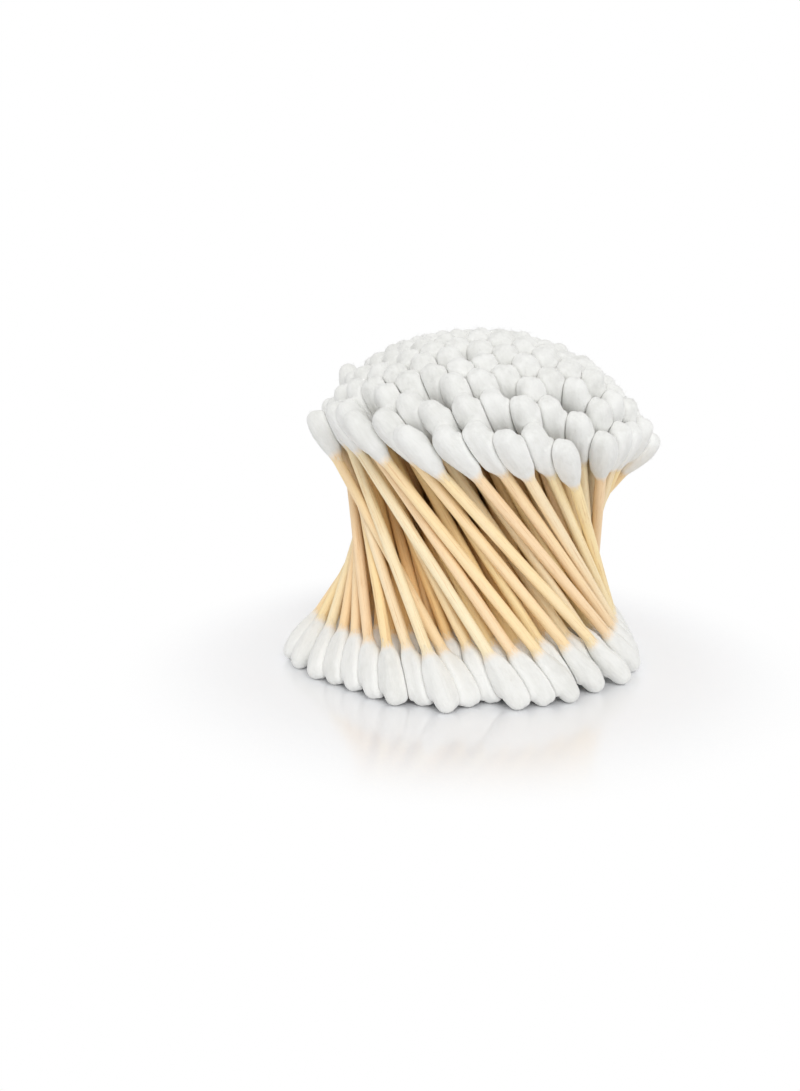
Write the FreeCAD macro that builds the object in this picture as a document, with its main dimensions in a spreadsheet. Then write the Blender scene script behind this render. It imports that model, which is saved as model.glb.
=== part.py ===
import FreeCAD, Part
import math
import os
import random
import Sketcher

# A free-standing bundle of double-ended cotton swabs, twisted into an hourglass.
# Millimetres, +Z up, the origin on the floor under the middle of the bundle.

Vector = FreeCAD.Vector
doc = FreeCAD.newDocument("CottonSwabBundle")

# Driving dimensions, in millimetres and degrees
sheet = doc.addObject("Spreadsheet::Sheet", "Dimensions")
dimensions = [
    ("swab_length", 75.0, "one swab, from the tip of one bud to the tip of the other"),
    ("stick_diameter", 2.3, "round birch stick"),
    ("bud_diameter", 5.0, "cotton bud at its belly"),
    ("bud_length", 14.5, "cotton, from the tip to its edge on the stick"),
    ("belly_depth", 4.8, "from the tip to the belly"),
    ("belly_curve", 12.0, "radius of the bud's side along its length"),
    ("cotton_edge", 0.15, "thickness of the cotton where it ends on the stick"),
    ("cotton_over_end", 1.6, "cotton in front of the stick's end"),
    ("clearance", 0.1, "least room between two swabs"),
    ("crown_fill", 0.6, "share of the crown's area that the bud diameters fill"),
    ("foot_fill", 0.72, "share of the foot's area that the bud diameters fill"),
    ("twist", 84.0, "turn of the crown against the foot, in degrees"),
    ("waist_radius", 27.0, "the hand that twists the bundle draws its sticks in to here"),
    ("crown_shift", 4.0, "how far the crown stands to the right of the foot"),
    ("scatter", 0.6, "how unevenly a hand sets the ends down"),
]
for row, (alias, value, meaning) in enumerate(dimensions, start=1):
    sheet.set("A%d" % row, alias)
    sheet.set("B%d" % row, str(value))
    sheet.set("C%d" % row, meaning)
    sheet.setAlias("B%d" % row, alias)
doc.recompute()


def size(alias):
    return float(sheet.get(alias))


stick_radius = size("stick_diameter") / 2
bud_radius = size("bud_diameter") / 2
half_length = size("swab_length") / 2
bud_length = size("bud_length")
belly_depth = size("belly_depth")
belly_curve = size("belly_curve")
clearance = size("clearance")
waist_radius = size("waist_radius")

# Groups of neighbouring swabs: one core group, a ring of inner ones and a ring of outer ones
swabs_per_group = 9
inner_count = 6
outer_count = 12
count = swabs_per_group * (1 + inner_count + outer_count)


# The bud's outline, as distances from its tip: a round cap, a long belly arc and a straight taper
class Outline:
    def __init__(self):
        self.belly_x = bud_radius - belly_curve
        self.neck = Vector(stick_radius + size("cotton_edge"), bud_length)
        # the cap's centre is on the axis, and the cap touches the belly arc from inside
        reach = belly_curve ** 2 - self.belly_x ** 2 - belly_depth ** 2
        self.cap_radius = reach / (2 * (belly_curve - belly_depth))
        to_cap = math.atan2(belly_depth - self.cap_radius, -self.belly_x)
        self.cap_end = Vector(self.cap_radius * math.cos(to_cap),
                              self.cap_radius * (1 - math.sin(to_cap)))
        # the taper runs from the neck and touches the belly arc from outside
        dx = self.neck.x - self.belly_x
        dy = belly_depth - self.neck.y
        touch = math.atan2(dy, dx) + math.acos(belly_curve / math.hypot(dx, dy))
        self.taper_start = Vector(self.belly_x + belly_curve * math.cos(touch),
                                  belly_depth - belly_curve * math.sin(touch))
        self.taper = (self.taper_start.x - self.neck.x) / (self.neck.y - self.taper_start.y)

    def radius(self, depth):
        # half the swab's thickness at a distance from its tip
        if depth > bud_length:
            return stick_radius
        if depth > self.taper_start.y:
            return self.neck.x + self.taper * (bud_length - depth)
        if depth > self.cap_end.y:
            return self.belly_x + math.sqrt(belly_curve ** 2 - (depth - belly_depth) ** 2)
        return math.sqrt(self.cap_radius ** 2 - (self.cap_radius - depth) ** 2)


outline = Outline()


# One stick and one bud, each drawn once along its own Z axis with the swab's middle at zero
def origin_plane(body, role):
    return [plane for plane in body.Origin.OriginFeatures if plane.Role == role][0]


def new_sketch(body, name, role):
    sketch = body.newObject("Sketcher::SketchObject", name)
    sketch.AttachmentSupport = [(origin_plane(body, role), "")]
    sketch.MapMode = "FlatFace"
    return sketch


def constrain(sketch, name, expression, *constraint):
    index = sketch.addConstraint(Sketcher.Constraint(*constraint))
    sketch.renameConstraint(index, name)
    sketch.setExpression("Constraints." + name, expression)


def make_stick():
    body = doc.addObject("PartDesign::Body", "SwabStick")
    section = new_sketch(body, "StickSection", "XY_Plane")
    section.addGeometry(Part.Circle(Vector(), Vector(0, 0, 1), stick_radius), False)
    section.addConstraint(Sketcher.Constraint("Coincident", 0, 3, -1, 1))
    constrain(section, "stick", "Dimensions.stick_diameter", "Diameter", 0, 2 * stick_radius)
    pad = body.newObject("PartDesign::Pad", "StickLength")
    pad.Profile = section
    pad.Midplane = True
    pad.setExpression("Length", "Dimensions.swab_length - 2 * Dimensions.cotton_over_end")
    section.Visibility = False
    return body


def make_bud():
    body = doc.addObject("PartDesign::Body", "CottonBud")
    half = new_sketch(body, "BudHalfSection", "XZ_Plane")
    tip = half_length
    bore_end = tip - size("cotton_over_end")
    edge = tip - outline.neck.y
    cap_centre = Vector(0, tip - outline.cap_radius)
    belly_centre = Vector(outline.belly_x, tip - belly_depth)
    cap_end = Vector(outline.cap_end.x, tip - outline.cap_end.y)
    taper_start = Vector(outline.taper_start.x, tip - outline.taper_start.y)
    to_cap_end = (cap_end - cap_centre).getAngle(Vector(1, 0))
    to_taper = -(taper_start - belly_centre).getAngle(Vector(1, 0))
    cap_circle = Part.Circle(cap_centre, Vector(0, 0, 1), outline.cap_radius)
    belly_circle = Part.Circle(belly_centre, Vector(0, 0, 1), belly_curve)
    cap, belly, taper, rim, bore, bore_top, axis = half.addGeometry([
        Part.ArcOfCircle(cap_circle, to_cap_end, math.pi / 2),
        Part.ArcOfCircle(belly_circle, to_taper, to_cap_end),
        Part.LineSegment(taper_start, Vector(outline.neck.x, edge)),
        Part.LineSegment(Vector(outline.neck.x, edge), Vector(stick_radius, edge)),
        Part.LineSegment(Vector(stick_radius, edge), Vector(stick_radius, bore_end)),
        Part.LineSegment(Vector(stick_radius, bore_end), Vector(0, bore_end)),
        Part.LineSegment(Vector(0, bore_end), Vector(0, tip)),
    ], False)
    # ends 1 and 2 are a curve's start and end, 3 is an arc's centre, and -1 is the sketch's origin
    for rule in (("Tangent", cap, 1, belly, 2), ("Tangent", belly, 1, taper, 1),
                 ("Coincident", taper, 2, rim, 1), ("Coincident", rim, 2, bore, 1),
                 ("Coincident", bore, 2, bore_top, 1), ("Coincident", bore_top, 2, axis, 1),
                 ("Coincident", axis, 2, cap, 2), ("PointOnObject", axis, 1, -2),
                 ("PointOnObject", axis, 2, -2), ("PointOnObject", cap, 3, -2),
                 ("Horizontal", rim), ("Vertical", bore), ("Horizontal", bore_top)):
        half.addConstraint(Sketcher.Constraint(*rule))
    constrain(half, "tip", "Dimensions.swab_length / 2",
              "DistanceY", -1, 1, axis, 2, tip)
    constrain(half, "bore_end", "Dimensions.swab_length / 2 - Dimensions.cotton_over_end",
              "DistanceY", -1, 1, axis, 1, bore_end)
    constrain(half, "edge", "Dimensions.swab_length / 2 - Dimensions.bud_length",
              "DistanceY", -1, 1, rim, 1, edge)
    constrain(half, "belly", "Dimensions.swab_length / 2 - Dimensions.belly_depth",
              "DistanceY", -1, 1, belly, 3, belly_centre.y)
    constrain(half, "bore", "Dimensions.stick_diameter / 2",
              "DistanceX", -1, 1, rim, 2, stick_radius)
    constrain(half, "neck", "Dimensions.stick_diameter / 2 + Dimensions.cotton_edge",
              "DistanceX", -1, 1, rim, 1, outline.neck.x)
    constrain(half, "side", "Dimensions.belly_curve", "Radius", belly, belly_curve)
    constrain(half, "side_centre", "Dimensions.belly_curve - Dimensions.bud_diameter / 2",
              "DistanceX", belly, 3, -1, 1, -outline.belly_x)
    turned = body.newObject("PartDesign::Revolution", "WoundCotton")
    turned.Profile = half
    turned.ReferenceAxis = (half, ["V_Axis"])
    turned.Angle = 360
    half.Visibility = False
    return body


# How the swabs stand: straight lines from the foot to the crown that nowhere share a place
half_span = half_length - outline.cap_radius
steepest_slope = 0.74
waist_grip = 0.1


class Swab:
    def __init__(self, top, foot):
        # the middle of the line and half of its run, both seen from above
        self.x = (top[0] + foot[0]) / 2
        self.y = (top[1] + foot[1]) / 2
        self.run_x = (top[0] - foot[0]) / 2
        self.run_y = (top[1] - foot[1]) / 2
        self.stand()

    def stand(self):
        # direction of the line, and its height with the lower cap on the floor
        slope = math.hypot(self.run_x, self.run_y) / half_span
        if slope > steepest_slope:
            self.run_x *= steepest_slope / slope
            self.run_y *= steepest_slope / slope
            slope = steepest_slope
        self.ux = self.run_x / half_span
        self.uy = self.run_y / half_span
        self.uz = math.sqrt(1 - slope ** 2)
        self.z = outline.cap_radius + half_span * self.uz

    def nudge(self, along, dx, dy):
        # move the point at this share of the half span, and turn the line with it
        weight = 1 / (1 + along ** 2)
        self.x += weight * dx
        self.y += weight * dy
        self.run_x += weight * along * dx
        self.run_y += weight * along * dy

    def squeeze(self, crown_share, foot_share):
        # draw the ends towards the middle of the crown and of the foot
        side = size("crown_shift") / 2
        top_x = (1 - crown_share) * (self.x + self.run_x - side) + side
        top_y = (1 - crown_share) * (self.y + self.run_y)
        foot_x = (1 - foot_share) * (self.x - self.run_x + side) - side
        foot_y = (1 - foot_share) * (self.y - self.run_y)
        self.x, self.y = (top_x + foot_x) / 2, (top_y + foot_y) / 2
        self.run_x, self.run_y = (top_x - foot_x) / 2, (top_y - foot_y) / 2

    def gather(self):
        # draw a line that passes outside the waist in towards the axis, and lean it further
        out = math.hypot(self.x, self.y)
        if out <= waist_radius:
            return
        pull = waist_grip * (out - waist_radius)
        to_x, to_y = self.x / out, self.y / out
        side = math.copysign(1.0, self.run_y * to_x - self.run_x * to_y)
        further = pull * out / math.hypot(self.run_x, self.run_y) * side
        self.x -= pull * to_x
        self.y -= pull * to_y
        self.run_x -= further * to_y
        self.run_y += further * to_x

    def end(self, along):
        return (self.x + along * self.run_x, self.y + along * self.run_y)

    def placement(self, flipped=False):
        turn = FreeCAD.Rotation(Vector(0, 0, 1), Vector(self.ux, self.uy, self.uz))
        if flipped:
            turn = turn * FreeCAD.Rotation(Vector(1, 0, 0), 180)
        return FreeCAD.Placement(Vector(self.x, self.y, self.z), turn)


# Where a swab is tested against its neighbour: closely along the buds, a few times on the stick
bud_stations = 8
stick_stations = 3
nearly_parallel = 1e-6


def make_stations():
    first = outline.cap_radius
    step = (bud_length - first) / (bud_stations - 1)
    depths = [first + step * index for index in range(bud_stations)]
    stick_step = (half_length - bud_length) / stick_stations
    depths += [bud_length + stick_step * (index + 1) for index in range(stick_stations)]
    places = set()
    for depth in depths:
        places.add((half_length - depth, outline.radius(depth)))
        places.add((depth - half_length, outline.radius(depth)))
    return sorted(places)


stations = make_stations()
push_share = 0.3


def nearest_point(a, b):
    # how far along line a it comes nearest to line b
    dx, dy, dz = b.x - a.x, b.y - a.y, b.z - a.z
    across = a.ux * b.ux + a.uy * b.uy + a.uz * b.uz
    on_a = dx * a.ux + dy * a.uy + dz * a.uz
    on_b = dx * b.ux + dy * b.uy + dz * b.uz
    parallel = 1 - across ** 2 < nearly_parallel
    along = 0.0 if parallel else (on_a - across * on_b) / (1 - across ** 2)
    return max(-half_span, min(half_span, along))


def offset(a, b, along):
    # from the nearest point of swab b to the point of swab a at this place, and where b is met
    px = a.x + along * a.ux - b.x
    py = a.y + along * a.uy - b.y
    pz = a.z + along * a.uz - b.z
    on_b = max(-half_span, min(half_span, px * b.ux + py * b.uy + pz * b.uz))
    return px - on_b * b.ux, py - on_b * b.uy, pz - on_b * b.uz, on_b


def push_apart(a, b):
    # nudge two swabs sideways wherever a comes too near to b, and return the worst lack of room
    worst = 0.0
    crossing = nearest_point(a, b)
    px, py, pz, on_b = offset(a, b, crossing)
    if px * px + py * py + pz * pz > (2 * bud_radius + clearance) ** 2:
        return worst
    for along, radius in stations + [(crossing, outline.radius(half_length - abs(crossing)))]:
        px, py, pz, on_b = offset(a, b, along)
        far = px * px + py * py + pz * pz
        if far > (radius + bud_radius + clearance) ** 2:
            continue
        lack = radius + outline.radius(half_length - abs(on_b)) + clearance - math.sqrt(far)
        if lack <= 0:
            continue
        worst = max(worst, lack)
        level = math.hypot(px, py) or 1.0
        push_x = push_share * lack * px / level
        push_y = push_share * lack * py / level
        a.nudge(along / half_span, push_x, push_y)
        b.nudge(on_b / half_span, -push_x, -push_y)
    return worst


near_in_buds = 1.8


def near_pairs(swabs):
    # the pairs whose lines come near each other at the foot, the waist or the crown
    reach = near_in_buds * size("bud_diameter")
    pairs = []
    for index, a in enumerate(swabs):
        for b in swabs[index + 1:]:
            gaps = [math.dist(a.end(share), b.end(share)) for share in (-1, -0.5, 0, 0.5, 1)]
            if min(gaps) < reach:
                pairs += [(a, b), (b, a)]
    return pairs


# How a hand makes the bundle: ends are set out, the crown is turned, and all is squeezed together
seed = 7
squeeze_rounds = 180
most_rounds = 500
rounds_per_list = 10
crown_squeeze = 0.0015
foot_squeeze = 0.006
swap = 0.04


def settle():
    # set the ends out like the seeds of a sunflower, turn the crown, then push the swabs apart
    chance = random.Random(seed)
    turn = math.radians(size("twist")) / 2
    golden_angle = math.pi * (3 - math.sqrt(5))
    swaps = [swap * chance.gauss(0, 1) for index in range(count)]
    by_top = sorted(range(count), key=lambda index: index / count + swaps[index])
    by_foot = sorted(range(count), key=lambda index: index / count - swaps[index])

    def end_point(index, rank, fill, angle, side):
        ring = bud_radius * math.sqrt((rank + 0.5) / fill)
        return (ring * math.cos(angle) + side + size("scatter") * chance.gauss(0, 1),
                ring * math.sin(angle) + size("scatter") * chance.gauss(0, 1))

    swabs = []
    for index in range(count):
        angle = index * golden_angle
        side = size("crown_shift") / 2
        top = end_point(index, by_top.index(index), size("crown_fill"), angle - turn, side)
        foot = end_point(index, by_foot.index(index), size("foot_fill"), angle + turn, -side)
        swabs.append(Swab(top, foot))
    for pass_number in range(most_rounds):
        if pass_number % rounds_per_list == 0:
            pairs = near_pairs(swabs)
        worst = 0.0
        for a, b in pairs:
            worst = max(worst, push_apart(a, b))
        if pass_number < squeeze_rounds:
            fade = 1 - pass_number / squeeze_rounds
            for swab in swabs:
                swab.squeeze(fade * crown_squeeze, fade * foot_squeeze)
                swab.gather()
        elif worst < clearance / 2:
            break
        for swab in swabs:
            swab.stand()
    print("settled after", pass_number, "rounds, least room",
          round(clearance - worst, 3), "mm")
    return swabs


def centre(swabs):
    # move the bundle so that its box stands in the middle of the frame
    for axis, slope in (("x", "ux"), ("y", "uy")):
        sides = []
        for swab in swabs:
            across = math.sqrt(1 - getattr(swab, slope) ** 2)
            for along, radius in stations:
                middle = getattr(swab, axis) + along * getattr(swab, slope)
                sides += [middle - radius * across, middle + radius * across]
        for swab in swabs:
            setattr(swab, axis, getattr(swab, axis) - (min(sides) + max(sides)) / 2)


def share_out(swabs):
    # neighbours go into one group: rings by distance from the axis, then sectors by angle
    by_distance = sorted(swabs, key=lambda swab: math.hypot(swab.x, swab.y))
    groups = []
    for ring, sectors in (("core", 1), ("inner", inner_count), ("outer", outer_count)):
        members = by_distance[:sectors * swabs_per_group]
        by_distance = by_distance[sectors * swabs_per_group:]
        members.sort(key=lambda swab: math.atan2(swab.y, swab.x))
        for sector in range(sectors):
            name = ring if sectors == 1 else "%s_%02d" % (ring, sector + 1)
            start = sector * swabs_per_group
            groups.append((name, members[start:start + swabs_per_group]))
    return groups


# The groups: copies of the stick and of the bud, set along the settled lines
def placed(template, name, placement):
    copy = doc.addObject("App::Link", name)
    copy.setLink(template)
    copy.Placement = placement
    return copy


def make_group(label, template, placements):
    group = doc.addObject("Part::Compound", label)
    group.Label = label
    group.Links = [placed(template, "%s_%d" % (label, number + 1), placement)
                   for number, placement in enumerate(placements)]
    return group


stick = make_stick()
bud = make_bud()
doc.recompute()

swabs = settle()
centre(swabs)

subparts = []
for name, members in share_out(swabs):
    upright = [swab.placement() for swab in members]
    flipped = [swab.placement(flipped=True) for swab in members]
    subparts.append(make_group(name + "_sticks", stick, upright))
    subparts.append(make_group(name + "_upper_buds", bud, upright))
    subparts.append(make_group(name + "_lower_buds", bud, flipped))
doc.recompute()

# Nothing is written before every object and every sub-part is sound
for item in doc.Objects:
    if "Invalid" in item.State or "Error" in item.State:
        raise RuntimeError("failed object: " + item.Label)
for item in subparts:
    if item.Shape.isNull() or not item.Shape.isValid():
        raise RuntimeError("bad shape: " + item.Label)
    if len(item.Shape.Solids) != swabs_per_group:
        raise RuntimeError("wrong number of pieces: " + item.Label)

os.makedirs("parts", exist_ok=True)
for item in subparts:
    item.Shape.exportStep(os.path.join("parts", item.Label + ".step"))

tilts = [math.degrees(math.acos(swab.uz)) for swab in swabs]
print("swabs", count, "sub-parts", len(subparts))
print("tilt from", round(min(tilts), 1), "to", round(max(tilts), 1), "degrees")
print("waist radius", round(max(math.hypot(swab.x, swab.y) for swab in swabs), 1))
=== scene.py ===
import math
import bpy
import numpy as np
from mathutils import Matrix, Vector


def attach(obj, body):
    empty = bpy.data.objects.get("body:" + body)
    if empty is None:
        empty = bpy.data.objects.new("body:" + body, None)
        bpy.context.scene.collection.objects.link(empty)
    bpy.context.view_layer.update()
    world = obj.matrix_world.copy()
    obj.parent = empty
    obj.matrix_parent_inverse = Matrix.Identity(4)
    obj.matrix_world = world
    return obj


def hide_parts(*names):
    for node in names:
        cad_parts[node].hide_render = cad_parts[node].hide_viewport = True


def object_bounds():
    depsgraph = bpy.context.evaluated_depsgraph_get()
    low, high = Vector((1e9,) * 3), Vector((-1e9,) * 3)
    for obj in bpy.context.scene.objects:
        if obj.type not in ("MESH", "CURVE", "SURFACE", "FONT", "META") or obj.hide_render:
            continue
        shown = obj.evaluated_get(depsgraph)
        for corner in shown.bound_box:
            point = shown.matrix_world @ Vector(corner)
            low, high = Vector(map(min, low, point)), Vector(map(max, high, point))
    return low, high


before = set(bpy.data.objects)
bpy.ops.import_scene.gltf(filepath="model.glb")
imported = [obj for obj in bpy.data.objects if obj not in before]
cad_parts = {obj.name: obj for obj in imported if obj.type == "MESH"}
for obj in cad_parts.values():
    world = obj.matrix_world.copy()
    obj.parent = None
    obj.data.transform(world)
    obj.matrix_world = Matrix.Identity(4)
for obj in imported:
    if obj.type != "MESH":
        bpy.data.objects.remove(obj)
cadLow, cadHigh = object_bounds()
mm = 0.001
print("frame loaded,", len(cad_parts), "nodes")


# how the swabs lie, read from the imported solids
reading = {
    "weld": 0.0005 * mm,  # corners closer than this are one corner
    "skinGap": 0.03 * mm,  # the cotton's outer skin stands at least this far off the stick
    "profileStep": 0.02 * mm,  # places along a bud closer than this count as one
}


def looseSolids(nodeName):
    # the corner points of each separate solid in one node
    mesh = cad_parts[nodeName].data
    corners = np.empty(len(mesh.vertices) * 3)
    mesh.vertices.foreach_get("co", corners)
    corners = corners.reshape(-1, 3)
    cells = np.round(corners / reading["weld"]).astype(np.int64)
    welded, weld = np.unique(cells, axis=0, return_inverse=True)
    weld = weld.reshape(-1)
    edges = np.empty(len(mesh.edges) * 2, np.int32)
    mesh.edges.foreach_get("vertices", edges)
    edges = weld[edges].reshape(-1, 2)
    label = np.arange(len(welded))
    settled = False
    while not settled:
        lowest = np.minimum(label[edges[:, 0]], label[edges[:, 1]])
        spread = label.copy()
        np.minimum.at(spread, edges[:, 0], lowest)
        np.minimum.at(spread, edges[:, 1], lowest)
        spread = spread[spread]
        settled = (spread == label).all()
        label = spread
    points = welded * reading["weld"]
    return [points[label == island] for island in np.unique(label)]


def stickLine(points):
    # middle, direction towards the crown and half length of one stick
    middle = (points.max(0) + points.min(0)) / 2
    direction = np.linalg.svd(points - points.mean(0), full_matrices=False)[2][0]
    direction = direction * np.sign(direction[2])
    along = (points - middle) @ direction
    middle = middle + direction * (along.max() + along.min()) / 2
    return middle, direction, (along.max() - along.min()) / 2


def distances(points, middle, direction):
    # how far points lie along a line and out from it
    along = (points - middle) @ direction
    out = np.linalg.norm(points - middle - np.outer(along, direction), axis=1)
    return along, out


groups = sorted(name[: -len("_sticks")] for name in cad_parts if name.endswith("_sticks"))
swabs = []
for group in groups:
    for points in looseSolids(group + "_sticks"):
        middle, direction, half = stickLine(points)
        swabs.append({"group": group, "middle": middle, "direction": direction, "stickHalf": half,
                      "stickRadius": distances(points, middle, direction)[1].max()})

firstBuds = looseSolids(groups[0] + "_upper_buds")
model = swabs[0]
stickRadius = model["stickRadius"]
stickHalf = model["stickHalf"]


def ownBud(swab, buds):
    # the cotton that sits on this stick is the one centred on its line
    off = [distances(points.mean(0)[None, :], swab["middle"], swab["direction"])[1][0] for points in buds]
    return buds[int(np.argmin(off))]


along, out = distances(ownBud(model, firstBuds), model["middle"], model["direction"])
swabHalf = along.max()
budLength = along.max() - along.min()
skin = (out > stickRadius + reading["skinGap"]) | (along > stickHalf + reading["skinGap"])
fromTip = np.round((swabHalf - along[skin]) / reading["profileStep"])
profilePlaces = np.unique(fromTip)
profileRadii = np.array([out[skin][fromTip == place].max() for place in profilePlaces])
profilePlaces = profilePlaces * reading["profileStep"]
middles = np.array([swab["middle"] for swab in swabs])
directions = np.array([swab["direction"] for swab in swabs])
print("swabs", len(swabs), "stick", round(stickRadius / mm, 3), "bud length", round(budLength / mm, 2),
      "bud radius", round(profileRadii.max() / mm, 2), "half length", round(swabHalf / mm, 2))


def swabRadius(place):
    # radius of a swab at a distance from its nearest tip
    return np.where(place < budLength, np.interp(place, profilePlaces, profileRadii), stickRadius)


def sideways(direction):
    # two directions square to a line
    first = np.cross(direction, (0.0, 1.0, 0.0))
    first = first / np.linalg.norm(first)
    return first, np.cross(direction, first)


def smoothstep(value, low, high):
    share = np.clip((value - low) / (high - low), 0.0, 1.0)
    return share * share * (3 - 2 * share)


def joinMeshes(parts):
    # several arrays of points and faces as one
    points = np.concatenate([part["points"] for part in parts])
    faces = []
    start = 0
    for part in parts:
        faces += [[corner + start for corner in face] for face in part["faces"]]
        start += len(part["points"])
    facts = {key: np.concatenate([part["facts"][key] for part in parts]) for key in parts[0]["facts"]}
    return points, faces, facts


def makePiece(name, parts, material, nodeName):
    points, faces, facts = joinMeshes(parts)
    mesh = bpy.data.meshes.new(name)
    mesh.from_pydata(points.tolist(), [], faces)
    mesh.polygons.foreach_set("use_smooth", [True] * len(mesh.polygons))
    for key, values in facts.items():
        attribute = mesh.attributes.new(key, "FLOAT_VECTOR", "POINT")
        attribute.data.foreach_set("vector", values.astype(np.float32).ravel())
    mesh.update()
    piece = bpy.data.objects.new(name, mesh)
    bpy.context.scene.collection.objects.link(piece)
    mesh.materials.append(material)
    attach(piece, "root")
    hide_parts(nodeName)


# one output socket, so that shader maths is written as an expression
class Flow:
    def __init__(self, finish, socket):
        self.finish = finish
        self.socket = socket

    def maths(self, operation, first, second):
        return self.finish.node("ShaderNodeMath", {"operation": operation}, {0: first, 1: second})

    def __add__(self, other):
        return self.maths("ADD", self, other)

    def __radd__(self, other):
        return self.maths("ADD", other, self)

    def __sub__(self, other):
        return self.maths("SUBTRACT", self, other)

    def __rsub__(self, other):
        return self.maths("SUBTRACT", other, self)

    def __mul__(self, other):
        return self.maths("MULTIPLY", self, other)

    def __rmul__(self, other):
        return self.maths("MULTIPLY", other, self)

    def beside(self, name):
        # another output of the same node
        return Flow(self.finish, self.socket.node.outputs[name])


class Finish:
    def __init__(self, owner):
        # the owner is a material or a world
        owner.use_nodes = True
        self.owner = owner
        self.tree = owner.node_tree
        self.tree.nodes.clear()

    def node(self, kind, settings=None, sockets=None, output=0):
        # a node's settings come first, then the values or links of its sockets
        made = self.tree.nodes.new(kind)
        for key, value in (settings or {}).items():
            setattr(made, key, value)
        for key, value in (sockets or {}).items():
            if isinstance(value, Flow):
                self.tree.links.new(value.socket, made.inputs[key])
            else:
                made.inputs[key].default_value = value
        return Flow(self, made.outputs[output]) if made.outputs else None

    def fact(self, name):
        return self.node("ShaderNodeAttribute", {"attribute_name": name}, output="Vector")

    def part(self, vector, axis):
        return self.node("ShaderNodeSeparateXYZ", {}, {0: vector}, output=axis)

    def noise(self, place, stretch, detail=2.0, roughness=0.5):
        # stretch says how fast the noise changes along each axis, for each millimetre
        stretched = self.node("ShaderNodeVectorMath", {"operation": "MULTIPLY"}, {0: place, 1: stretch})
        return self.node("ShaderNodeTexNoise", {}, {"Vector": stretched, "Scale": 1.0, "Detail": detail,
                                                    "Roughness": roughness})

    def rise(self, value, low, high):
        # a smooth rise from 0 at low to 1 at high
        return self.node("ShaderNodeMapRange", {"interpolation_type": "SMOOTHSTEP"},
                         {"Value": value, "From Min": low, "From Max": high})

    def mix(self, share, first, second):
        return self.node("ShaderNodeMix", {"data_type": "RGBA"}, {0: share, 6: first, 7: second}, output=2)

    def seen(self):
        # 1 for what the camera sees straight, in gloss or through glass, 0 for light on other things
        straight = self.node("ShaderNodeLightPath", output="Is Camera Ray")
        return straight + straight.beside("Is Glossy Ray") + straight.beside("Is Transmission Ray")

    def finished(self, kind, surface):
        self.node(kind, {}, {"Surface": surface})
        return self.owner


def srgb(red, green, blue):
    # a colour read from a picture, 0 to 255, as the renderer's own numbers
    shares = [value / 255 for value in (red, green, blue)]
    return tuple(s / 12.92 if s <= 0.04045 else ((s + 0.055) / 1.055) ** 2.4 for s in shares) + (1.0,)


# birch sticks
stickLook = {
    "sides": 14,
    "rings": 26,
    "bow": 0.05 * mm,  # how far a stick wanders from its straight line
    "bowWaves": (2, 3),  # half waves of that bow, in the two directions across the stick
    "swell": 0.04 * mm,  # sticks touch, where the solids keep a little room
    "roundness": 0.015,  # uneven radius, as a share
    "waver": 6 * mm,  # that unevenness changes over about this length
    "yellowCream": srgb(254, 231, 178),
    "pinkCream": srgb(250, 221, 181),
    "paleCream": srgb(250, 236, 202),
    "grainBrown": srgb(214, 166, 108),
    "paintedBounceAmber": srgb(252, 210, 142),  # painted warm bounced light: sticks behind the outer ones are coloured as if lit by their neighbours
    "outermost": 30,  # this many sticks are in the open
    "sheltered": 75,  # and those after this many are well inside, with the most painted bounced light
    "paleShare": 0.85,
    "paintedBounceShare": 0.75,
    "driftStretch": (0.45, 0.45, 0.09),  # slow changes of tone
    "grainStretch": (3.2, 3.2, 0.09),  # long grain
    "grainShare": 0.55,
    "poreStretch": (9.0, 9.0, 0.8),  # short pores
    "poreShare": 0.35,
    "roughness": 0.55,
    "specular": 0.3,
    "reliefStrength": 0.35,
    "reliefDepth": 0.1 * mm,
}


def woodColour(finish, place):
    # birch: each stick has its own tone, with fine long grain and short pores; the third part of a stick's tone
    # is its share of painted warm bounced light, for sticks inside the bundle
    tone = finish.fact("stickToneAndBounce")
    warm, pale, paintedBounce = finish.part(tone, 0), finish.part(tone, 1), finish.part(tone, 2)
    drift = finish.noise(place, stickLook["driftStretch"], 3.0)
    grain = finish.noise(place, stickLook["grainStretch"], 4.0, 0.6)
    pores = finish.noise(place, stickLook["poreStretch"], 2.0, 0.7)
    base = finish.mix(finish.rise(warm * 0.75 + drift * 0.55, 0.25, 1.0),
                      stickLook["yellowCream"], stickLook["pinkCream"])
    base = finish.mix(finish.rise(pale + drift * 0.5, 0.55, 1.25) * stickLook["paleShare"],
                      base, stickLook["paleCream"])
    # painted warm bounced light: sticks inside the bundle are tinted amber
    base = finish.mix(paintedBounce * stickLook["paintedBounceShare"], base, stickLook["paintedBounceAmber"])
    marks = (finish.rise(grain, 0.5, 0.76) * stickLook["grainShare"]
             + finish.rise(pores, 0.55, 0.75) * stickLook["poreShare"])
    return finish.mix(marks, base, stickLook["grainBrown"]), grain + pores * 0.5


def birchFinish():
    finish = Finish(bpy.data.materials.new("birch"))
    colour, relief = woodColour(finish, finish.fact("swabPlace"))
    bump = finish.node("ShaderNodeBump", {}, {
        "Strength": stickLook["reliefStrength"], "Distance": stickLook["reliefDepth"], "Height": relief})
    wood = finish.node("ShaderNodeBsdfPrincipled", {}, {
        "Base Color": colour,
        "Roughness": stickLook["roughness"],
        "Specular IOR Level": stickLook["specular"],
        "Normal": bump,
    })
    return finish.finished("ShaderNodeOutputMaterial", wood)


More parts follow.
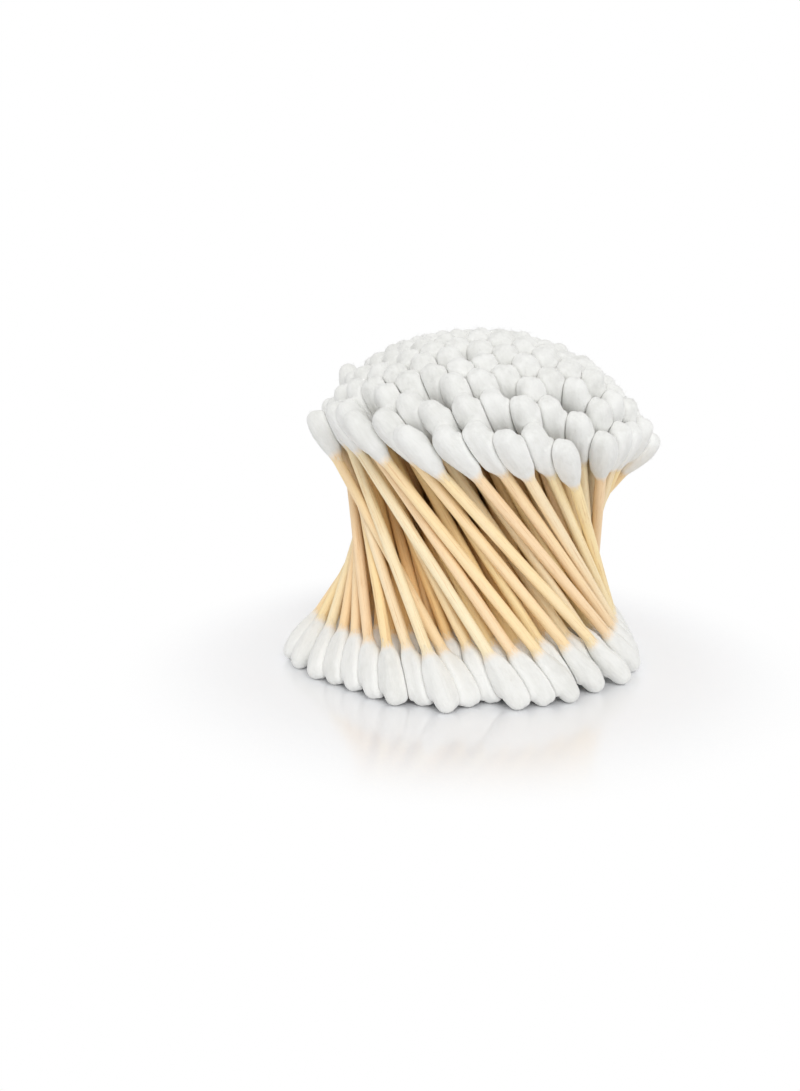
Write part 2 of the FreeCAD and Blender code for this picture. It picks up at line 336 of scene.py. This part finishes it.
def makeStick(swab, rng):
    sides = stickLook["sides"]
    rings = stickLook["rings"]
    angles = np.arange(sides) * 2 * math.pi / sides
    places = np.linspace(-stickHalf, stickHalf, rings)
    first, second = sideways(swab["direction"])
    phase = rng.uniform(0, 2 * math.pi, 4)
    sweep = math.pi * (places / (2 * stickHalf) + 0.5)
    wavesFirst, wavesSecond = stickLook["bowWaves"]
    bowFirst = stickLook["bow"] * np.sin(sweep * wavesFirst + phase[0])
    bowSecond = stickLook["bow"] * np.sin(sweep * wavesSecond + phase[1])
    uneven = 1 - stickLook["roundness"] * (1 + np.cos(2 * angles[None, :] + phase[2])) / 2
    waver = 1 - stickLook["roundness"] * (1 + np.sin(places[:, None] / stickLook["waver"] + phase[3])) / 2
    radius = (stickRadius + stickLook["swell"]) * uneven * waver
    across = radius * np.cos(angles) + bowFirst[:, None]
    deep = radius * np.sin(angles) + bowSecond[:, None]
    points = (swab["middle"] + places[:, None, None] * swab["direction"]
              + across[..., None] * first + deep[..., None] * second).reshape(-1, 3)
    alongStick = np.broadcast_to(places[:, None], across.shape)
    local = np.stack([across, deep, alongStick], -1).reshape(-1, 3) / mm
    faces = []
    for ring in range(rings - 1):
        for side in range(sides):
            after = (side + 1) % sides
            faces.append([ring * sides + side, ring * sides + after,
                          (ring + 1) * sides + after, (ring + 1) * sides + side])
    faces.append(list(range(sides))[::-1])
    faces.append([(rings - 1) * sides + side for side in range(sides)])
    facts = {"swabPlace": local + swab["shift"], "stickToneAndBounce": np.tile(swab["tone"], (len(points), 1))}
    return {"points": points, "faces": faces, "facts": facts}


# wound cotton buds
budLook = {
    "sides": 26,
    "rings": 34,
    "reach": 9.0 * mm,  # neighbours further than this are out of touch
    "pressNear": 0.9 * mm,  # gaps up to this are filled by the soft cotton
    "pressFar": 2.6 * mm,  # and wider ones than this are left open
    "pressFrom": 0.35,  # the filling grows over this share of the bud, from its neck
    "contact": 0.015 * mm,
    "lump": 0.05,  # uneven radius, as a share
    "lobes": ((2, 1.0, 2.2), (3, 0.7, -3.0), (5, 0.5, 5.0)),  # waves round the bud, strength, turn along it
    "swells": (7, 0.8),  # waves along the bud, strength
    "bodyLean": 0.8,  # the lumps are strongest this side of the bud's middle
    "bodySpread": 0.7,
    "winding": 0.025 * mm,
    "windingStep": 1.1 * mm,
    "profilePoints": 400,
    "neckLength": 6.0 * mm,  # the cotton thins out to wisps along this much of the stick
    "neckSink": 0.16 * mm,  # and ends this far below the wood's skin
    "neckThinning": 0.5,
    "wisp": 0.07 * mm,  # uneven thickness round the neck
    "wispWaves": (5, 7, 3),
    "thinFrom": 0.55 * mm,  # cotton thinner than this begins to show the wood
    "inside": 0.8,  # the neck's edge turns in to this share of the stick's radius
    "white": srgb(240, 240, 237),
    "shade": srgb(230, 230, 226),
    "paintedCreaseLight": srgb(255, 255, 252),  # painted light: cotton close to its neighbours is whiter, lightening the creases between buds
    "creaseLightFrom": 0.2 * mm,
    "creaseLightTo": 2.4 * mm,
    "blush": srgb(244, 234, 221),  # thin cotton with the wood showing through
    "cloudStretch": (0.35, 0.35, 0.35),  # broad changes of tone
    "lengthStretch": (1.7, 1.7, 0.3),  # fibres along the bud
    "woundStretch": (1.6, 1.6, 6.0),  # and fibres wound round it
    "wispStretch": (4.5, 4.5, 0.5),
    "roughness": 0.9,
    "specular": 0.1,
    "softness": 0.25,  # how much light passes through the cotton's skin
    "softReach": 1.5 * mm,
    "sheen": 0.2,
    "sheenRoughness": 0.5,
    "reliefStrength": 0.7,
    "reliefDepth": 0.25 * mm,
}


def cottonFinish():
    finish = Finish(bpy.data.materials.new("cotton"))
    place = finish.fact("swabPlace")
    facts = finish.fact("cottonFacts")
    thin, tone, paintedCreaseLight = finish.part(facts, 0), finish.part(facts, 1), finish.part(facts, 2)
    wood = woodColour(finish, place)[0]
    cloud = finish.noise(place, budLook["cloudStretch"], 3.0)
    lengthwise = finish.noise(place, budLook["lengthStretch"], 4.0, 0.65)
    wound = finish.noise(place, budLook["woundStretch"], 4.0, 0.65)
    wisps = finish.noise(place, budLook["wispStretch"], 3.0, 0.6)
    base = finish.mix(finish.rise(cloud * 0.6 + tone * 0.3 + lengthwise * 0.8, 0.65, 1.2),
                      budLook["white"], budLook["shade"])
    # painted light: cotton close to its neighbours is whitened, lightening the creases between buds
    base = finish.mix(paintedCreaseLight, base, budLook["paintedCreaseLight"])
    base = finish.mix(finish.rise(thin + (wisps - 0.5) * 0.5, 0.1, 0.85), base, budLook["blush"])
    base = finish.mix(finish.rise(thin + (wisps - 0.5) * 0.9, 0.6, 1.15), base, wood)
    bump = finish.node("ShaderNodeBump", {}, {
        "Strength": budLook["reliefStrength"], "Distance": budLook["reliefDepth"],
        "Height": lengthwise + wound * 0.5})
    cotton = finish.node("ShaderNodeBsdfPrincipled", {}, {
        "Base Color": base,
        "Roughness": budLook["roughness"],
        "Specular IOR Level": budLook["specular"],
        "Subsurface Weight": budLook["softness"],
        "Subsurface Radius": (1.0, 1.0, 1.0),
        "Subsurface Scale": budLook["softReach"],
        "Sheen Weight": budLook["sheen"],
        "Sheen Roughness": budLook["sheenRoughness"],
        "Normal": bump,
    })
    return finish.finished("ShaderNodeOutputMaterial", cotton)


def profileRings(count):
    # places from the tip to the neck, evenly spaced along the curved skin
    fine = np.linspace(0.0, budLength, budLook["profilePoints"])
    radii = np.interp(fine, profilePlaces, profileRadii)
    radii[0] = 0.0
    thinning = smoothstep(fine, budLength - budLook["neckLength"], budLength)
    radii -= (np.maximum(radii - stickRadius, 0.0) * budLook["neckThinning"] + budLook["neckSink"]) * thinning
    walked = np.concatenate([[0.0], np.cumsum(np.hypot(np.diff(fine), np.diff(radii)))])
    places = np.interp(np.linspace(0, walked[-1], count + 1)[1:], walked, fine)
    return places, np.interp(places, fine, radii)


ringPlaces, ringRadii = profileRings(budLook["rings"])


def gapToOthers(points, index, sign):
    # smallest gap from points on one bud to any other swab
    centre = middles[index] + sign * directions[index] * (swabHalf - budLength / 2)
    along = np.clip(((centre - middles) * directions).sum(1), -swabHalf, swabHalf)
    near = np.linalg.norm(centre - middles - along[:, None] * directions, axis=1) < budLook["reach"]
    near[index] = False
    smallest = np.full(len(points), budLook["reach"])
    for other in np.flatnonzero(near):
        along = np.clip((points - middles[other]) @ directions[other], -swabHalf, swabHalf)
        out = np.linalg.norm(points - middles[other] - along[:, None] * directions[other], axis=1)
        smallest = np.minimum(smallest, out - swabRadius(swabHalf - np.abs(along)))
    return smallest


def makeBud(index, sign, rng):
    swab = swabs[index]
    sides = budLook["sides"]
    rings = budLook["rings"]
    angles = np.arange(sides) * 2 * math.pi / sides
    axis = sign * swab["direction"]
    first, second = sideways(swab["direction"])
    tip = swab["middle"] + axis * swabHalf
    radial = np.cos(angles)[:, None] * first + np.sin(angles)[:, None] * second
    # soft unevenness, as lobes round the bud that change along it
    phase = rng.uniform(0, 2 * math.pi, 5)
    share = ringPlaces[:, None] / budLength
    lobeStarts = (phase[0], phase[1], phase[3])
    lobes = sum(strength * np.cos(waves * angles + start + turn * share)
                for (waves, strength, turn), start in zip(budLook["lobes"], lobeStarts))
    swells, swellStrength = budLook["swells"]
    lobes = (lobes + swellStrength * np.sin(swells * share + phase[2])) / 3
    body = np.sin(math.pi * share ** budLook["bodyLean"]) ** budLook["bodySpread"]
    turns = np.sin(angles + 2 * math.pi * ringPlaces[:, None] / budLook["windingStep"] + phase[4])
    skin = ringRadii[:, None] * (1 + budLook["lump"] * lobes * body) + budLook["winding"] * turns * body
    wisps = sum(np.cos(waves * angles + 3 * start) for waves, start in zip(budLook["wispWaves"], phase))
    skin = skin + budLook["wisp"] / 3 * wisps * smoothstep(share, 1 - budLook["neckLength"] / budLength, 1.0)
    points = tip - ringPlaces[:, None, None] * axis + skin[..., None] * radial
    slope = np.gradient(ringRadii, ringPlaces)
    normal = radial[None] + slope[:, None, None] * axis
    normal = normal / np.linalg.norm(normal, axis=2)[..., None]
    # the soft cotton fills the small gaps to its neighbours and lies flat against them
    gap = gapToOthers(points.reshape(-1, 3), index, sign).reshape(rings, sides)
    room = np.minimum(gap, budLook["pressFar"]) / 2 - budLook["contact"]
    filling = 1 - smoothstep(gap, budLook["pressNear"], budLook["pressFar"])
    points = points + (room * filling * smoothstep(1 - share, 0.0, budLook["pressFrom"]))[..., None] * normal
    points[..., 2] = np.maximum(points[..., 2], cadLow.z)
    bottom = tip - ringPlaces[-1] * axis
    edge = bottom + stickRadius * budLook["inside"] * radial
    allPoints = np.concatenate([tip[None], points.reshape(-1, 3), edge, bottom[None]])
    faces = [[0, 1 + side, 1 + (side + 1) % sides] for side in range(sides)]
    for ring in range(rings):
        for side in range(sides):
            after = (side + 1) % sides
            faces.append([1 + ring * sides + side, 1 + (ring + 1) * sides + side,
                          1 + (ring + 1) * sides + after, 1 + ring * sides + after])
    last = len(allPoints) - 1
    base = 1 + rings * sides
    faces += [[last, base + (side + 1) % sides, base + side] for side in range(sides)]
    if sign < 0:
        # the ring of points runs the other way round for a bud that points down
        faces = [face[::-1] for face in faces]
    # facts that the finish reads: how thin the cotton is, how close its neighbours, which sets the painted
    # crease light, and the bud's own tone
    thin = np.where(ringPlaces < budLength / 2, 0.0,
                    1 - smoothstep(ringRadii - stickRadius, 0.0, budLook["thinFrom"]))
    thin = np.concatenate([[0.0], np.repeat(thin, sides), np.ones(sides + 1)])
    # painted crease light: the smaller the gap to a neighbour, the whiter the cotton
    paintedCreaseLight = 1 - smoothstep(gap, budLook["creaseLightFrom"], budLook["creaseLightTo"])
    paintedCreaseLight = np.concatenate([[0.0], paintedCreaseLight.ravel(), np.zeros(sides + 1)])
    facts = swabFacts(swab, allPoints, thin, rng.uniform(), paintedCreaseLight)
    bud = {"points": allPoints, "faces": faces, "facts": facts}
    free = np.argwhere((gap > fuzzLook["freeGap"]) & (ringPlaces < budLength - fuzzLook["fromNeck"])[:, None])
    return [bud] + makeFuzz(swab, points, normal, free, axis, rng)


def swabFacts(swab, points, thin, tone, paintedCreaseLight):
    first, second = sideways(swab["direction"])
    local = (points - swab["middle"]) @ np.stack([first, second, swab["direction"]], 1) / mm
    return {"swabPlace": local + swab["shift"], "stickToneAndBounce": np.tile(swab["tone"], (len(points), 1)),
            "cottonFacts": np.stack([thin, np.full(len(points), tone), paintedCreaseLight], 1)}


# loose fibres that stand off the free cotton
fuzzLook = {
    "perBud": 26,
    "freeGap": 1.2 * mm,
    "fromNeck": 3.0 * mm,
    "thickness": (0.018 * mm, 0.03 * mm),
    "length": (0.5 * mm, 1.5 * mm),
    "lift": 0.45,  # how steeply a fibre leaves the skin
    "liftSpread": (0.4, 1.4),
    "curl": (0.9, 1.6),  # how much steeper or flatter it goes on
    "taper": 0.7,
    "root": 0.06 * mm,  # how deep it starts in the cotton
}


def makeFuzz(swab, points, normal, free, axis, rng):
    fibres = []
    turns = [arm * 2 * math.pi / 3 for arm in range(3)]
    for ring, side in free[rng.permutation(len(free))[:fuzzLook["perBud"]]]:
        out = normal[ring, side]
        around = np.cross(out, axis)
        angle = rng.uniform(0, 2 * math.pi)
        flat = math.cos(angle) * around + math.sin(angle) * np.cross(out, around)
        flat = flat / np.linalg.norm(flat)
        across = np.cross(out, flat)
        thick = rng.uniform(*fuzzLook["thickness"])
        length = rng.uniform(*fuzzLook["length"])
        lift = fuzzLook["lift"] * rng.uniform(*fuzzLook["liftSpread"])
        start = points[ring, side] - fuzzLook["root"] * out
        middle = start + length * 0.5 * (flat + lift * out)
        end = start + length * (flat + lift * rng.uniform(*fuzzLook["curl"]) * out)
        star = [math.cos(turn) * across + math.sin(turn) * out for turn in turns]
        thinner = fuzzLook["taper"] * thick
        root = [start + thick * arm for arm in star]
        bend = [middle + thinner * arm for arm in star]
        corners = np.array(root + bend + [end])
        corners[:, 2] = np.maximum(corners[:, 2], cadLow.z)
        faces = [[2, 1, 0]]
        for arm in range(3):
            after = (arm + 1) % 3
            faces += [[arm, after, after + 3, arm + 3], [arm + 3, after + 3, 6]]
        plain = np.zeros(len(corners))
        fibres.append({"points": corners, "faces": faces, "facts": swabFacts(swab, corners, plain, 0.0, plain)})
    return fibres


# the whole bundle
bundleLook = {
    "seed": 11,
    "shift": 500,  # each swab reads the noise at its own place, up to this many millimetres away
}

birch = birchFinish()
cotton = cottonFinish()
rng = np.random.default_rng(bundleLook["seed"])
outsideFirst = np.argsort(-np.hypot(middles[:, 0], middles[:, 1]))
for rank, index in enumerate(outsideFirst):
    # sticks further inside get more painted warm bounced light, stored with each stick's two random tones
    paintedBounce = smoothstep(rank, stickLook["outermost"], stickLook["sheltered"])
    swabs[index]["tone"] = np.append(rng.uniform(0, 1, 2), paintedBounce)
    swabs[index]["shift"] = rng.uniform(-bundleLook["shift"], bundleLook["shift"], 3)
for group in groups:
    members = [index for index, swab in enumerate(swabs) if swab["group"] == group]
    makePiece(group + "_birch_sticks", [makeStick(swabs[index], rng) for index in members], birch,
              group + "_sticks")
    makePiece(group + "_upper_cotton", sum([makeBud(index, 1, rng) for index in members], []), cotton,
              group + "_upper_buds")
    makePiece(group + "_lower_cotton", sum([makeBud(index, -1, rng) for index in members], []), cotton,
              group + "_lower_buds")
print("sticks and buds made")


# pale glossy floor
floorLook = {
    "half": 3.0,  # metres from the middle to each edge
    "colour": srgb(247, 248, 251),
    "roughness": 0.17,
    "ior": 2.2,
    "specular": 1.0,
    "near": 0.045,  # the floor fades to the white backdrop between these distances from the object
    "far": 0.081,
}


def floorFinish():
    finish = Finish(bpy.data.materials.new("paleFloor"))
    place = finish.node("ShaderNodeNewGeometry", output="Position")
    away = finish.node("ShaderNodeVectorMath", {"operation": "LENGTH"}, {0: place}, output="Value")
    fade = finish.rise(away, floorLook["near"], floorLook["far"])
    gloss = finish.node("ShaderNodeBsdfPrincipled", {}, {
        "Base Color": floorLook["colour"], "Roughness": floorLook["roughness"], "IOR": floorLook["ior"],
        "Specular IOR Level": floorLook["specular"]})
    white = finish.node("ShaderNodeEmission", {}, {"Color": (1, 1, 1, 1), "Strength": 1.0})
    ground = finish.node("ShaderNodeMixShader", {}, {0: fade * finish.seen(), 1: gloss, 2: white})
    return finish.finished("ShaderNodeOutputMaterial", ground)


def makeFloor():
    half = floorLook["half"]
    level = cadLow.z
    mesh = bpy.data.meshes.new("pale_floor")
    mesh.from_pydata([(-half, -half, level), (half, -half, level), (half, half, level), (-half, half, level)],
                     [], [(0, 1, 2, 3)])
    floor = bpy.data.objects.new("pale_floor", mesh)
    bpy.context.scene.collection.objects.link(floor)
    mesh.materials.append(floorFinish())


makeFloor()
print("floor made")


# soft studio light
lightLook = {
    "worldStrength": 0.74,
    "keyStrength": 1.0,
    "keySoftness": 35.0,  # degrees, as the next two
    "keyAzimuth": 12.0,
    "keyHeight": 38.0,
}


def makeWorld():
    finish = Finish(bpy.data.worlds.new("studio"))
    white = (1, 1, 1, 1)
    light = finish.node("ShaderNodeBackground", {}, {"Color": white, "Strength": lightLook["worldStrength"]})
    backdrop = finish.node("ShaderNodeBackground", {}, {"Color": white, "Strength": 1.0})
    sky = finish.node("ShaderNodeMixShader", {}, {0: finish.seen(), 1: light, 2: backdrop})
    bpy.context.scene.world = finish.finished("ShaderNodeOutputWorld", sky)


def fromAngles(azimuth, height):
    # the direction towards a lamp or camera; azimuth 0 is in front of the object
    turn = math.radians(azimuth)
    rise = math.radians(height)
    return Vector((math.sin(turn) * math.cos(rise), -math.cos(turn) * math.cos(rise), math.sin(rise)))


def makeKey():
    lamp = bpy.data.lights.new("key", "SUN")
    lamp.energy = lightLook["keyStrength"]
    lamp.angle = math.radians(lightLook["keySoftness"])
    key = bpy.data.objects.new("key", lamp)
    towards = fromAngles(lightLook["keyAzimuth"], lightLook["keyHeight"])
    key.location = towards
    key.rotation_euler = (-towards).to_track_quat("-Z", "Y").to_euler()
    bpy.context.scene.collection.objects.link(key)


makeWorld()
makeKey()
print("light made")


# camera at the photograph's place
cameraLook = {
    "imageWidth": 800,
    "imageHeight": 1091,
    "aim": (0.0, 0.0, 33 * mm),  # the point that is seen at aimPixel
    "aimPixel": (468, 513),
    "distance": 235 * mm,
    "height": 11.0,  # degrees above the floor's plane
    "focalPixels": 1020,
    "sensor": 36.0,
    "clipStart": 5 * mm,
}


def makeCamera():
    data = bpy.data.cameras.new("camera")
    data.sensor_width = cameraLook["sensor"]
    data.lens = cameraLook["sensor"] * cameraLook["focalPixels"] / cameraLook["imageHeight"]
    data.clip_start = cameraLook["clipStart"]
    camera = bpy.data.objects.new("camera", data)
    back = fromAngles(0.0, cameraLook["height"])
    camera.location = Vector(cameraLook["aim"]) + back * cameraLook["distance"]
    # the camera is turned so that the aim lies off the middle of the picture, as in the photograph
    acrossPixels = cameraLook["aimPixel"][0] - cameraLook["imageWidth"] / 2
    downPixels = cameraLook["aimPixel"][1] - cameraLook["imageHeight"] / 2
    turn = math.atan(acrossPixels / cameraLook["focalPixels"])
    dip = math.atan(downPixels / cameraLook["focalPixels"])
    camera.rotation_mode = "XYZ"
    camera.rotation_euler = (math.radians(90 - cameraLook["height"]) + dip, 0.0, turn)
    bpy.context.scene.collection.objects.link(camera)
    bpy.context.scene.camera = camera


makeCamera()
bpy.context.scene.view_settings.view_transform = "Standard"
